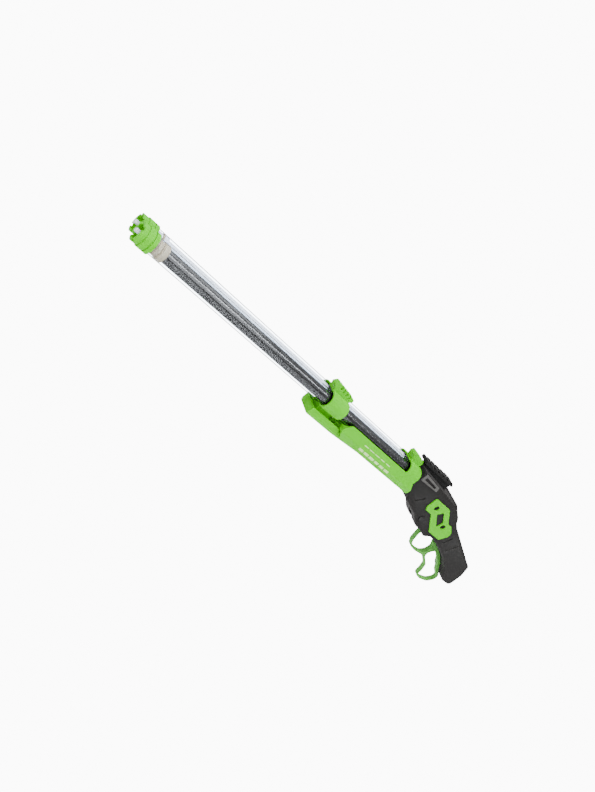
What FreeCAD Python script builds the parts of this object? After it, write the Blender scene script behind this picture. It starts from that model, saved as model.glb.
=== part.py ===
"""Hand-held, pull-action twin-cylinder washer shaped like a lever-action long gun.

Frame: +X runs along the cylinders towards the butt, the nozzles point to -X, +Z is up,
and the origin is the middle of the hand grip.  Two clear cylinders, held by the muzzle cap
and the fore-end, slide forward off two rods whose rear ends are fixed in the receiver.
"""
import FreeCAD, Part
import math
import os
import re
import Sketcher

Vector = FreeCAD.Vector
Rotation = FreeCAD.Rotation
Placement = FreeCAD.Placement

# ---------------------------------------------------------------- driving dimensions, mm
SIZES = {
    "bore_height": 50.0,        # rods' axes above the grip's middle
    "bore_spacing": 26.4,       # between the two rods' axes
    "barrel_length": 613.0,     # from the nozzle rings' front to the fore-end's rear
    "receiver_front": -190.0,   # the parting face's upright part
    "parting_lean": 20.0,       # how far the parting face leans back below its knee
    "slide_gap": 0.6,           # between the fore-end and the receiver when closed
    "rod_gap": 2.2,             # between a rod and its cylinder's bore
    "rod_wall": 1.5,
    "cylinder_radius": 12.8,
    "cylinder_wall": 1.0,
    "piston_length": 17.5,
    "piston_gap": 0.05,
    "fit_gap": 0.15,
    "lobe_radius": 15.2,        # muzzle cap, each lobe
    "cap_length": 15.5,
    "cap_groove": 1.3,
    "ring_lobe_radius": 14.0,   # nozzle ring, each lobe
    "ring_length": 9.0,
    "ring_recess_radius": 11.0,
    "ring_recess": 5.5,
    "tip_flange_radius": 9.0,
    "tip_radius": 3.0,
    "tip_reach": 3.0,
    "outlet_radius": 1.6,
    "band_wall": 2.4,
    "front_band_station": 369.0,  # from the nozzle rings' front to the band's front
    "front_band_length": 38.0,
    "rear_band_length": 31.0,
    "gland_length": 12.0,
    "trough_station": 363.5,    # from the nozzle rings' front to the fore-end's tip
    "forend_station": 428.0,    # from the nozzle rings' front to the side panels' nose
    "forend_wall": 2.8,
    "trough_narrowing": 9.0,
    "receiver_wall": 2.8,
    "butt_half_width": 18.0,
    "taper_start": -14.0,
    "shell_rounding": 3.0,
    "plate_thickness": 2.0,
    "screw_radius": 1.5,
    "screw_head_radius": 3.0,
    "screw_head_height": 1.8,
    "plate_hole_radius": 5.3,
    "yoke_length": 24.0,
    "yoke_height": 23.0,
    "rail_width": 21.0,
    "rail_foot_width": 14.0,
    "rail_top": 83.6,
    "rail_thickness": 6.6,
    "rail_slot_depth": 3.4,
    "rail_pitch": 14.0,
    "lever_width": 10.0,
    "lever_slot_gap": 0.8,
    "pivot_radius": 3.0,
    "pivot_gap": 0.06,
}

doc = FreeCAD.newDocument("twin_cylinder_washer")
sheet = doc.addObject("Spreadsheet::Sheet", "Sizes")
for row, (alias, number) in enumerate(SIZES.items(), start=1):
    sheet.set(f"A{row}", alias)
    sheet.set(f"B{row}", str(number))
    sheet.setAlias(f"B{row}", alias)
doc.recompute()

PIECES = {}


def formula(text):
    """Point every driving dimension named in the text at its cell."""
    return re.sub(r"[a-z_]{3,}", lambda m: f"Sizes.{m[0]}" if m[0] in SIZES else m[0], str(text))


def value(text):
    """The number that a formula gives now."""
    return float(sheet.evalExpression(formula(text)))


def bind(obj, **formulas):
    for name, text in formulas.items():
        obj.setExpression(name, formula(text))
    return obj


def place(obj, x=0, y=0, z=0, rotation=None):
    """Turn an object, then bind its position to formulas."""
    if rotation is not None:
        obj.Placement = Placement(Vector(0, 0, 0), rotation)
    for name, text in (("x", x), ("y", y), ("z", z)):
        obj.setExpression(f"Placement.Base.{name}", formula(text))
    return obj


def keep(obj, label):
    """Name a finished sub-part; its label is also its file's name."""
    obj.Label = label
    PIECES[label] = obj
    return obj


# ---------------------------------------------------------------- derived formulas
MUZZLE = "(receiver_front - slide_gap - barrel_length)"
FOREND_REAR = "(receiver_front - slide_gap)"
CAP_FRONT = f"({MUZZLE} + ring_length)"
CAP_REAR = f"({CAP_FRONT} + cap_length)"
SIDES = {"left": "(-bore_spacing / 2)", "right": "(bore_spacing / 2)"}
INNER_RADIUS = "(cylinder_radius - cylinder_wall)"
ROD_RADIUS = f"({INNER_RADIUS} - rod_gap)"
OUTER_HALF = "(bore_spacing / 2 + cylinder_radius + band_wall)"
RECEIVER_HALF = f"(bore_spacing / 2 + {ROD_RADIUS} + receiver_wall)"
PARTING_KNEE = 42.0
PARTING_BOTTOM = 18.0
ALONG_X = Rotation(Vector(0, 1, 0), 90)
ALONG_Y = Rotation(Vector(1, 0, 0), -90)
SIDE_VIEW = Rotation(Vector(1, 0, 0), 90)
FRONT_VIEW = Rotation(Vector(1, 1, 1), 120)


# ---------------------------------------------------------------- small shape helpers
def cylinder(radius, length, x, y, z, rotation=ALONG_X):
    solid = doc.addObject("Part::Cylinder", "round")
    bind(solid, Radius=radius, Height=length)
    return place(solid, x, y, z, rotation)


def box(length, width, height, x, y, z):
    """A box whose low corner is at x, y, z."""
    solid = doc.addObject("Part::Box", "block")
    bind(solid, Length=length, Width=width, Height=height)
    return place(solid, x, y, z)


def fuse(shapes):
    joined = doc.addObject("Part::MultiFuse", "joined")
    joined.Shapes = shapes
    joined.Refine = True
    return joined


def cut(base, tools):
    result = doc.addObject("Part::Cut", "cut")
    result.Base = base
    result.Tool = tools[0] if len(tools) == 1 else fuse(tools)
    return result


def common(base, tool):
    result = doc.addObject("Part::Common", "shared")
    result.Base = base
    result.Tool = tool
    return result


def group(shapes):
    """Several equal solids in one node."""
    result = doc.addObject("Part::Compound", "set")
    result.Links = shapes
    return result


def mirrored(source):
    """The same piece for the other side of the middle plane."""
    result = doc.addObject("Part::Mirroring", "mirrored")
    result.Source = source
    result.Normal = Vector(0, 1, 0)
    return result


def ring(outer, inner, length, x, y, z="bore_height"):
    body = cylinder(outer, length, x, y, z)
    bore = cylinder(inner, f"{length} + 2", f"{x} - 1", y, z)
    return cut(body, [bore])


def corner_arc(before, corner, after, radius):
    """Where an arc of this radius leaves and meets the two lines of a corner, and its middle."""
    back = (before - corner).normalize()
    ahead = (after - corner).normalize()
    half = back.getAngle(ahead) / 2
    reach = radius / math.tan(half)
    centre = corner + (back + ahead).normalize() * (radius / math.sin(half))
    middle = centre + (corner - centre).normalize() * radius
    return corner + back * reach, middle, corner + ahead * reach


def draw(sketch, corners):
    """A closed outline of straight runs; each corner is (across, up, radius)."""
    points = [Vector(across, up, 0) for across, up, radius in corners]
    bends = []
    for index, (across, up, radius) in enumerate(corners):
        before = points[index - 1]
        after = points[(index + 1) % len(points)]
        if radius > 0:
            bends.append(corner_arc(before, points[index], after, radius))
        else:
            bends.append((points[index], None, points[index]))
    for index, (start, middle, end) in enumerate(bends):
        if middle is not None:
            sketch.addGeometry(Part.Arc(start, middle, end), False)
        following = bends[(index + 1) % len(bends)][0]
        if end.distanceToPoint(following) > 1e-6:
            sketch.addGeometry(Part.LineSegment(end, following), False)
    return sketch


def outline(corners, view):
    sketch = doc.addObject("Sketcher::SketchObject", "outline")
    sketch.Placement = Placement(Vector(0, 0, 0), view)
    return draw(sketch, corners)


def extruded(corners, view, forward, backward=0):
    """An outline given thickness along its normal: -Y in the side view, +X in the front view."""
    solid = doc.addObject("Part::Extrusion", "slab")
    solid.Base = outline(corners, view)
    solid.DirMode = "Normal"
    solid.Solid = True
    bind(solid, LengthFwd=forward, LengthRev=backward)
    return solid


def plane_of(body, role):
    return next(item for item in body.Origin.OriginFeatures if item.Role == role)


def body_sketch(body, role, offset=0):
    sketch = body.newObject("Sketcher::SketchObject", "profile")
    sketch.AttachmentSupport = [(plane_of(body, role), "")]
    sketch.MapMode = "FlatFace"
    sketch.setExpression("AttachmentOffset.Base.z", formula(offset))
    return sketch


def turned(corners):
    """A body of revolution about its own X axis; corners are (along, radius, rounding)."""
    body = doc.addObject("PartDesign::Body", "turned")
    sketch = draw(body_sketch(body, "XZ_Plane"), corners)
    spin = body.newObject("PartDesign::Revolution", "spin")
    spin.Profile = sketch
    spin.ReferenceAxis = (sketch, ["H_Axis"])
    spin.Angle = 360
    return body


def pad(body, corners, role, length, offset=0):
    feature = body.newObject("PartDesign::Pad", "pad")
    feature.Profile = draw(body_sketch(body, role, offset), corners)
    return bind(feature, Length=length)


def pocket(body, shapes, role, length, offset=0, midplane=False):
    """Cut outlines, or circles given as (across, up, None, radius formula), into a body."""
    sketch = body_sketch(body, role, offset)
    for corners in shapes:
        if isinstance(corners, dict):
            circle = sketch.addGeometry(
                Part.Circle(Vector(*corners["at"], 0), Vector(0, 0, 1), value(corners["radius"])), False)
            bound = sketch.addConstraint(Sketcher.Constraint("Radius", circle, value(corners["radius"])))
            sketch.setExpression(f"Constraints[{bound}]", formula(corners["radius"]))
        else:
            draw(sketch, corners)
    feature = body.newObject("PartDesign::Pocket", "pocket")
    feature.Profile = sketch
    feature.Midplane = midplane
    return bind(feature, Length=length)


def parting(height):
    """The parting face's place along X at a height."""
    drop = max(0.0, PARTING_KNEE - height) / (PARTING_KNEE - PARTING_BOTTOM)
    return value("receiver_front") + value("parting_lean") * drop


# ---------------------------------------------------------------- rods and pistons
ROD_FRONT = f"({CAP_REAR} + 2)"
YOKE_FRONT = "(receiver_front + 36)"
ROD_REAR = f"({YOKE_FRONT} + yoke_length)"
RING_GROOVE = 3.0
GROOVE_WIDTH = 2.6
for side, y in SIDES.items():
    length = f"({ROD_REAR} - {ROD_FRONT} - piston_length)"
    tube = ring(ROD_RADIUS, f"{ROD_RADIUS} - rod_wall", length, f"{ROD_FRONT} + piston_length", y)
    keep(tube, f"rod_{side}")

    radius = value(f"{INNER_RADIUS} - piston_gap")
    long = value("piston_length")
    middle = long / 2
    profile = [
        (0, 0, 0), (0, radius - 2.5, 0), (2.0, radius - 0.9, 0.8),
        (middle - GROOVE_WIDTH / 2, radius - 0.9, 0), (middle - GROOVE_WIDTH / 2, radius - RING_GROOVE, 0),
        (middle + GROOVE_WIDTH / 2, radius - RING_GROOVE, 0), (middle + GROOVE_WIDTH / 2, radius, 0),
        (long, radius, 0.6), (long, 0, 0),
    ]
    keep(place(turned(profile), ROD_FRONT, y, "bore_height"), f"piston_{side}")

piston_rings = []
for y in SIDES.values():
    start = f"{ROD_FRONT} + piston_length / 2 - {GROOVE_WIDTH / 2}"
    piston_rings.append(ring(f"{INNER_RADIUS} - piston_gap", f"{INNER_RADIUS} - piston_gap - {RING_GROOVE}",
                             GROOVE_WIDTH, start, y))
keep(group(piston_rings), "piston_rings")

# ---------------------------------------------------------------- clear cylinders and muzzle
SOCKET = 9.5
GLAND_REACH = 3.0
CYLINDER_FRONT = f"({CAP_REAR} - {SOCKET})"
REAR_BAND_FRONT = f"({FOREND_REAR} - rear_band_length)"
GLAND_FRONT = f"({FOREND_REAR} - gland_length)"
for side, y in SIDES.items():
    tube = ring("cylinder_radius", INNER_RADIUS, f"({GLAND_FRONT} - {CYLINDER_FRONT})", CYLINDER_FRONT, y)
    keep(tube, f"cylinder_{side}")

FLANGE = 5.5
NECK = 2.0
WEB_HALF = 6.0


def web(length, start):
    """The bridge that holds two lobes together however far apart the bores are."""
    return box(length, "bore_spacing", 2 * WEB_HALF, start, SIDES["left"], f"bore_height - {WEB_HALF}")


lobes = [web("cap_length", CAP_FRONT)]
sockets = []
for y in SIDES.values():
    drum_length = f"(cap_length - {FLANGE} - {NECK})"
    lobes.append(cylinder("lobe_radius", drum_length, CAP_FRONT, y, "bore_height"))
    lobes.append(cylinder("lobe_radius - cap_groove", "cap_length", CAP_FRONT, y, "bore_height"))
    lobes.append(cylinder("lobe_radius", FLANGE, f"{CAP_REAR} - {FLANGE}", y, "bore_height"))
    sockets.append(cylinder("cylinder_radius + fit_gap", f"{SOCKET} + 1", CYLINDER_FRONT, y, "bore_height"))
    sockets.append(cylinder("tip_flange_radius + 0.1", "cap_length + 2", f"{CAP_FRONT} - 1", y,
                   "bore_height"))
keep(cut(fuse(lobes), sockets), "muzzle_cap")

NOTCHES = 4
NOTCH_DEPTH = 2.2
NOTCH_WIDTH = 5.0
ring_lobes = [web("ring_length", MUZZLE)]
ring_tools = []
for side, y in SIDES.items():
    ring_lobes.append(cylinder("ring_lobe_radius", "ring_length", MUZZLE, y, "bore_height"))
    ring_tools.append(cylinder("ring_recess_radius", "ring_recess + 1", f"{MUZZLE} - 1", y, "bore_height"))
    ring_tools.append(cylinder("tip_radius + fit_gap", "ring_length + 2", f"{MUZZLE} - 1", y, "bore_height"))
    for index in range(NOTCHES):
        notch = box(f"{NOTCH_DEPTH} + 1", NOTCH_WIDTH, "ring_lobe_radius", MUZZLE, y, "bore_height")
        turn = Rotation(Vector(1, 0, 0), 360 * (index + 0.5) / NOTCHES)
        offset = turn.multVec(Vector(0, -NOTCH_WIDTH / 2, value("ring_recess_radius") - 1))
        notch.Placement = Placement(Vector(0, 0, 0), turn)
        ring_tools.append(place(notch, f"{MUZZLE} - 1", f"{y} + ({offset.y})", f"bore_height + ({offset.z})"))

    reach = value("tip_reach")
    ring_rear = value("ring_length")
    tip_length = value(f"ring_length + cap_length - {SOCKET}") - 0.2
    outlet = value("outlet_radius")
    tip = value("tip_radius")
    flange = value("tip_flange_radius")
    profile = [
        (-reach, outlet, 0), (-reach, tip - 0.6, 0), (-reach + 0.8, tip, 0.4), (ring_rear, tip, 0),
        (ring_rear, flange, 0.5), (tip_length, flange, 0), (tip_length, outlet + 1.4, 0),
        (tip_length - 8.0, outlet, 0),
    ]
    keep(place(turned(profile), MUZZLE, y, "bore_height"), f"nozzle_tip_{side}")
keep(cut(fuse(ring_lobes), ring_tools), "nozzle_ring")

# ---------------------------------------------------------------- bands
BAND_RADIUS = "(cylinder_radius + band_wall)"
BAND_BOTTOM = f"(bore_height - {BAND_RADIUS})"
BAND_SEAT = 40.0
GASKET_HALF = 9.0
half = value(OUTER_HALF)
height = value("bore_height")
band_radius = value(BAND_RADIUS)
arch_top = height + band_radius


def stadium(radius, length, start):
    """A solid with two round ends, one about each cylinder's axis."""
    ends = [cylinder(radius, length, start, y, "bore_height") for y in SIDES.values()]
    middle = box(length, "bore_spacing", f"2 * ({radius})", start, SIDES["left"], f"bore_height - ({radius})")
    return fuse(ends + [middle])


def gasket(length, start):
    """The wedge of rubber between the two cylinders."""
    block = box(f"{length} - 2", 2 * GASKET_HALF, "2 * cylinder_radius", f"{start} + 1", -GASKET_HALF,
                "bore_height - cylinder_radius")
    holes = [cylinder("cylinder_radius + 0.1", f"{length} + 2", f"{start} - 1", y, "bore_height")
             for y in SIDES.values()]
    return cut(block, holes)


FRONT_BAND = f"({MUZZLE} + front_band_station)"
RIDGE_HALF = 8.0
ridge_start = value(FRONT_BAND)
ridge_end = ridge_start + value("front_band_length")
ridge_root = arch_top - value("band_wall") / 2
ridge = extruded([
    (ridge_start - 3, arch_top + 7, 1.5), (ridge_start + 2, arch_top + 13.5, 2.5),
    (ridge_end + 4, arch_top + 8.5, 2), (ridge_end + 5, arch_top + 4, 1),
    (ridge_end - 1, ridge_root, 0), (ridge_start + 1, ridge_root, 0),
], SIDE_VIEW, RIDGE_HALF, RIDGE_HALF)
opening = stadium("cylinder_radius + 0.1", "front_band_length + 2", f"{FRONT_BAND} - 1")
front_band = cut(fuse([stadium(BAND_RADIUS, "front_band_length", FRONT_BAND), ridge]), [opening])
GROOVES = 4
GROOVE_PITCH = 7.6
GROOVE_DEPTH = 4.6
grooves = []
for index in range(GROOVES):
    at = ridge_start + 8 + GROOVE_PITCH * index
    low = arch_top + 12.6 - 5 * (at - ridge_start) / value("front_band_length") - GROOVE_DEPTH
    grooves.append(extruded([(at, low + 9, 0), (at, low, 0), (at + 3.0, low, 0), (at + 3.0, low + 9, 0)],
                            SIDE_VIEW, RIDGE_HALF + 1, RIDGE_HALF + 1))
keep(cut(front_band, grooves), "front_band")
keep(gasket("front_band_length", FRONT_BAND), "front_gasket")

HUMP_REAR = 4.0
HUMP_LENGTH = 28.0
HUMP_HALF = 9.0
hump_end = value(FOREND_REAR) - HUMP_REAR
hump_start = hump_end - HUMP_LENGTH
hump = extruded([
    (hump_start, arch_top + 9, 2), (hump_start + 3, arch_top + 14.5, 2), (hump_end - 3, arch_top + 11.5, 2),
    (hump_end, arch_top + 8, 1), (hump_end, ridge_root, 0), (hump_start + 6, ridge_root, 0),
    (hump_start + 3, arch_top + 1, 1),
], SIDE_VIEW, HUMP_HALF, HUMP_HALF)
legs = box("rear_band_length", f"2 * {OUTER_HALF}", f"bore_height - {BAND_SEAT}", REAR_BAND_FRONT,
           f"-{OUTER_HALF}", BAND_SEAT)
opening = stadium("cylinder_radius + 0.1", "rear_band_length + 2", f"{REAR_BAND_FRONT} - 1")
low_half = box("rear_band_length + 2", f"2 * {OUTER_HALF}", BAND_SEAT, f"{REAR_BAND_FRONT} - 1",
               f"-{OUTER_HALF}", 0)
arch = fuse([stadium(BAND_RADIUS, "rear_band_length", REAR_BAND_FRONT), legs, hump])
keep(cut(arch, [opening, low_half]), "rear_band")
keep(gasket("rear_band_length - gland_length", REAR_BAND_FRONT), "rear_gasket")

glands = []
wipers = []
for y in SIDES.values():
    glands.append(ring("cylinder_radius", f"{ROD_RADIUS} + 0.08", "gland_length", GLAND_FRONT, y))
    wipers.append(ring(f"{INNER_RADIUS} - 0.1", f"{ROD_RADIUS} + 0.1", 4.0, f"{GLAND_FRONT} - 4", y))
keep(group(glands), "glands")
keep(group(wipers), "rod_wipers")

# ---------------------------------------------------------------- fore-end
FOREND_TOP = 48.5
FOREND_BOTTOM = 17.0
TROUGH_TOP = 27.5
TROUGH_BOTTOM = 12.0
nose = value(f"{MUZZLE} + forend_station")
tip_station = value(f"{MUZZLE} + trough_station")
gap = value("slide_gap")
wall = value("forend_wall")
trough_half = half - value("trough_narrowing")


def section(half_width, low, high, chamfer):
    return [
        (-half_width, high, 0), (-half_width, low + chamfer, 3), (-half_width + 0.7 * chamfer, low, 3),
        (half_width - 0.7 * chamfer, low, 3), (half_width, low + chamfer, 3), (half_width, high, 0),
    ]


side_profile = [
    (nose + 6, FOREND_TOP, 5), (parting(FOREND_TOP) - gap, FOREND_TOP, 0),
    (parting(PARTING_KNEE) - gap, PARTING_KNEE, 6), (parting(FOREND_BOTTOM) - gap - 1, FOREND_BOTTOM, 3),
    (nose + 13, FOREND_BOTTOM + 0.5, 6),
    (nose - 6, 34, 8),
]
trough_profile = [
    (tip_station, TROUGH_TOP, 2.5), (nose + 60, TROUGH_TOP, 0), (nose + 60, FOREND_BOTTOM + 0.5, 0),
    (nose - 8, TROUGH_BOTTOM, 6), (tip_station, TROUGH_BOTTOM, 3),
]
RUN = "barrel_length + parting_lean + 10"
outer = common(
    extruded(side_profile, SIDE_VIEW, OUTER_HALF, OUTER_HALF),
    place(extruded(section(half, FOREND_BOTTOM, FOREND_TOP, 13), FRONT_VIEW, RUN), MUZZLE))
keel = common(
    extruded(trough_profile, SIDE_VIEW, OUTER_HALF, OUTER_HALF),
    place(extruded(section(trough_half, TROUGH_BOTTOM, TROUGH_TOP, 5.5), FRONT_VIEW, RUN), MUZZLE))
inside_body = place(extruded(
    section(half - wall, FOREND_BOTTOM + wall, FOREND_TOP + 30, 12.5), FRONT_VIEW, RUN),
    f"{MUZZLE} + forend_station + 2")
inside_keel = place(extruded(
    section(trough_half - wall, TROUGH_BOTTOM + wall, TROUGH_TOP + 30, 5), FRONT_VIEW,
    "forend_station - trough_station + 6"), f"{MUZZLE} + trough_station + 4")
cylinder_way = cylinder("cylinder_radius + 0.5", RUN, f"{MUZZLE} + 5", SIDES["left"], "bore_height")
rear_seat = box("rear_band_length + 10", "200", "60", f"{REAR_BAND_FRONT} - 0.2", -100, BAND_SEAT)
bore_seat = stadium(BAND_RADIUS, "rear_band_length + 10", f"{REAR_BAND_FRONT} - 0.2")
saddle = box("front_band_length - 8", 24, f"{BAND_BOTTOM} - {TROUGH_BOTTOM} - 1",
             f"{FRONT_BAND} + 4", -12, TROUGH_BOTTOM + 1)
left_side = place(box(RUN, "100", "120", 0, 0, 0), MUZZLE, -100, 0)
tray = cut(fuse([outer, keel]), [inside_body, inside_keel, cylinder_way, rear_seat, bore_seat])
forend = fuse([tray, saddle])
forend_half = common(forend, left_side)

POST_RADIUS = 4.0
SCREW_BITE = 10.0


def headed_posts(half_shell, posts):
    """Posts from the wall to the middle plane, drilled through and counterbored outside."""
    columns = []
    drills = []
    for x, z, depth in posts:
        columns.append(cylinder(POST_RADIUS, depth, x, 0, z, SIDE_VIEW))
        drills.append(cylinder("screw_radius + fit_gap", f"({depth}) + 5", x, 1, z, SIDE_VIEW))
        drills.append(cylinder("screw_head_radius + fit_gap", 8, x, f"screw_head_height - ({depth})", z,
                               SIDE_VIEW))
    return fuse([half_shell] + columns), drills


def threaded_posts(half_shell, posts):
    """Posts with pilot holes that the screws bite into."""
    columns = []
    drills = []
    for x, z, depth in posts:
        columns.append(cylinder(POST_RADIUS, depth, x, 0, z, SIDE_VIEW))
        drills.append(cylinder("screw_radius", f"{SCREW_BITE} + 2", x, 1, z, SIDE_VIEW))
    return fuse([half_shell] + columns), drills


def screws(posts):
    """Pan-head screws for headed posts on the left, one solid each."""
    result = []
    for x, z, depth in posts:
        seat = f"screw_head_height - ({depth})"
        head = cylinder("screw_head_radius", "screw_head_height - 0.3", x, seat, z, SIDE_VIEW)
        shank = cylinder("screw_radius", f"{SCREW_BITE} + ({depth}) - screw_head_height", x, SCREW_BITE, z,
                         SIDE_VIEW)
        result.append(fuse([head, shank]))
    return result


KEEL_DEPTH = f"({OUTER_HALF} - trough_narrowing - 1.8)"
BODY_DEPTH = f"({OUTER_HALF} - 5.4)"
forend_posts = [(ridge_start + 20, TROUGH_BOTTOM + 8, KEEL_DEPTH)]
forend_posts += [(nose + along, FOREND_BOTTOM + 7, BODY_DEPTH) for along in (45, 105, 165)]
shell, drills = threaded_posts(forend_half, forend_posts)
keep(cut(shell, drills), "forend_left")
shell, drills = headed_posts(forend_half, forend_posts)
keep(mirrored(cut(shell, drills)), "forend_right")
keep(mirrored(group(screws(forend_posts))), "forend_screws")

# ---------------------------------------------------------------- receiver and grip
receiver_half = value(RECEIVER_HALF)
RECEIVER_TOP = 72.4
TOP_LINE = [(parting(RECEIVER_TOP), RECEIVER_TOP), (-80.0, 61.4)]
GRIP_UNDER = [(0.7, -21.8), (38.0, -34.5), (62.0, -49.0), (76.0, -63.0)]
receiver_outline = [
    (*TOP_LINE[0], 3.5), (*TOP_LINE[1], 2), (-75.5, 65.2, 3.2), (-61.0, 57.0, 8), (-43.0, 47.5, 12),
    (-33.0, 38.0, 10), (-20.0, 31.0, 15), (84.0, -7.5, 30), (104.0, -14.5, 12), (114.5, -38.0, 30),
    (116.5, -70.5, 8), (90.0, -70.5, 14), (*GRIP_UNDER[3], 20), (*GRIP_UNDER[2], 30), (*GRIP_UNDER[1], 60),
    (*GRIP_UNDER[0], 60), (-36.0, -14.2, 20), (-49.0, -14.2, 8), (-60.0, -21.5, 8), (-80.0, -15.6, 15),
    (-97.0, -15.0, 12), (-121.0, 0.0, 20), (parting(11.5), 11.5, 4),
    (parting(PARTING_KNEE), PARTING_KNEE, 8),
]
slab = extruded(receiver_outline, SIDE_VIEW, RECEIVER_HALF)
BUTT_END = 130.0
taper_start = value("taper_start")
butt_half = value("butt_half_width")
taper = place(extruded([
    (taper_start, -receiver_half, 0), (BUTT_END, -butt_half, 0), (BUTT_END, -receiver_half - 5, 0),
    (taper_start, -receiver_half - 5, 0),
], Rotation(), 300), 0, 0, -150)
tapered = cut(slab, [taper])
doc.recompute()


def on_outside(edge):
    """Whether an edge bounds the left half's outer face, flat or tapered."""
    for point in (edge.valueAt(edge.FirstParameter), edge.valueAt(edge.LastParameter),
                  edge.valueAt((edge.FirstParameter + edge.LastParameter) / 2)):
        share = max(0.0, (point.x - taper_start) / (BUTT_END - taper_start))
        if abs(point.y + receiver_half - share * (receiver_half - butt_half)) > 1e-4:
            return False
    return edge.BoundBox.XLength > 1e-4 or abs(edge.BoundBox.XMin - taper_start) > 1e-3


rounded = doc.addObject("Part::Fillet", "rounded")
rounded.Base = tapered
rounding = value("shell_rounding")
rounded.Edges = [(index, rounding, rounding) for index, edge in enumerate(tapered.Shape.Edges, start=1)
                 if on_outside(edge)]
inner_outline = doc.addObject("Part::Offset2D", "inner_outline")
inner_outline.Source = slab.Base
inner_outline.Join = "Intersection"
bind(inner_outline, Value="-receiver_wall")


def cavity(depth):
    hollow = doc.addObject("Part::Extrusion", "hollow")
    hollow.Base = inner_outline
    hollow.DirMode = "Custom"
    hollow.Dir = Vector(0, -1, 0)
    hollow.Solid = True
    return bind(hollow, LengthFwd=depth, LengthRev=1)


GRIP_CAVITY = "(butt_half_width - receiver_wall)"
FRONT_CAVITY = f"({RECEIVER_HALF} - receiver_wall)"
FRONT_CAVITY_END = -48.0
front_zone = place(box("300", "200", "300", 0, 0, 0), FRONT_CAVITY_END - 300, -100, -150)
hollows = [cavity(GRIP_CAVITY), common(cavity(FRONT_CAVITY), front_zone)]
RIB = 3.0
YOKE_LOW = "(bore_height - yoke_height / 2)"
rib_boxes = [
    box(RIB, FRONT_CAVITY, "300", f"{YOKE_FRONT} - {RIB} - 0.1", f"-{FRONT_CAVITY} - 0.5", -150),
    box(RIB, FRONT_CAVITY, "300", f"{YOKE_FRONT} + yoke_length + 0.1", f"-{FRONT_CAVITY} - 0.5", -150),
]
ribs = common(slab, fuse(rib_boxes))
shell_half = fuse([cut(rounded, hollows), ribs])
PIVOT = (-104.0, 3.0)
POST_STATIONS = [(-162.0, 26.0), (-66.0, 42.0), (-30.0, 8.0), (30.0, -10.0), (92.0, -45.0)]
receiver_posts = []
for x, z in POST_STATIONS:
    share = max(0.0, (x - taper_start) / (BUTT_END - taper_start))
    receiver_posts.append((x, z, round(receiver_half - share * (receiver_half - butt_half) - 0.6, 3)))
SLOT = "(lever_width / 2 + lever_slot_gap)"
slot_front = PIVOT[0] - 9
slot_rear = -41.0
PLATE_SCREWS = [(-103.4, 36.0), (-52.5, 16.5)]


SIDE_GROOVES = [(-152.0, 22.0, 19.0, 38.0, 3.0), (-14.6, -7.1, 20.8, 17.0, 3.2),
                (9.8, -17.7, 28.2, 30.0, 1.6)]
GROOVE_CUT = 1.6


def openings():
    """What is cut from a left half: rod hole, lever slot, pivot hole, screw holes, side grooves."""
    tools = [
        cylinder(f"{ROD_RADIUS} + fit_gap", f"{YOKE_FRONT} - receiver_front + yoke_length + 20",
                 "receiver_front - 5", SIDES["left"], "bore_height"),
        box(slot_rear - slot_front, SLOT + " + 1", 70, slot_front, f"-{SLOT}", -57),
        cylinder("pivot_radius + fit_gap", f"{RECEIVER_HALF} + 4", PIVOT[0], 2, PIVOT[1], SIDE_VIEW),
    ]
    for x, z in PLATE_SCREWS:
        tools.append(cylinder("screw_radius + 0.02", f"{RECEIVER_HALF} + 4", x, 2, z, SIDE_VIEW))
    for x, z, length, tilt, width in SIDE_GROOVES:
        outside = 2.0 + max(0.0, x - taper_start) * (receiver_half - butt_half) / (BUTT_END - taper_start)
        groove = box(width, outside + GROOVE_CUT, length, 0, 0, 0)
        groove.Placement = Placement(Vector(0, 0, 0), Rotation(Vector(0, 1, 0), tilt))
        tools.append(place(groove, x, f"-{RECEIVER_HALF} - 2", z))
    return tools


shell, drills = threaded_posts(shell_half, receiver_posts)
keep(cut(shell, drills + openings()), "receiver_left")
shell, drills = headed_posts(shell_half, receiver_posts)
keep(mirrored(cut(shell, drills + openings())), "receiver_right")
keep(mirrored(group(screws(receiver_posts))), "receiver_screws")

yoke_half = f"({FRONT_CAVITY} - 0.1)"
yoke = box("yoke_length", f"2 * {yoke_half}", "yoke_height", YOKE_FRONT, f"-{yoke_half}", YOKE_LOW)
yoke_tools = [cylinder(ROD_RADIUS, "yoke_length + 2", f"{YOKE_FRONT} - 1", y, "bore_height")
              for y in SIDES.values()]
PIN_RADIUS = 2.0
pins = []
for y in SIDES.values():
    across = f"{YOKE_FRONT} + yoke_length / 2"
    pins.append(cylinder(PIN_RADIUS, "yoke_height - 1", across, y, f"{YOKE_LOW} + 0.5", Rotation()))
    yoke_tools.append(cylinder(PIN_RADIUS, "yoke_height + 2", across, y, f"{YOKE_LOW} - 1", Rotation()))
keep(cut(yoke, yoke_tools), "rod_yoke")
keep(group(pins), "rod_pins")
for side, y in SIDES.items():
    tube = PIECES.pop(f"rod_{side}")
    across = f"{YOKE_FRONT} + yoke_length / 2"
    hole = cylinder(PIN_RADIUS, "yoke_height + 2", across, y, f"{YOKE_LOW} - 1", Rotation())
    keep(cut(tube, [hole]), f"rod_{side}")

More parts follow.
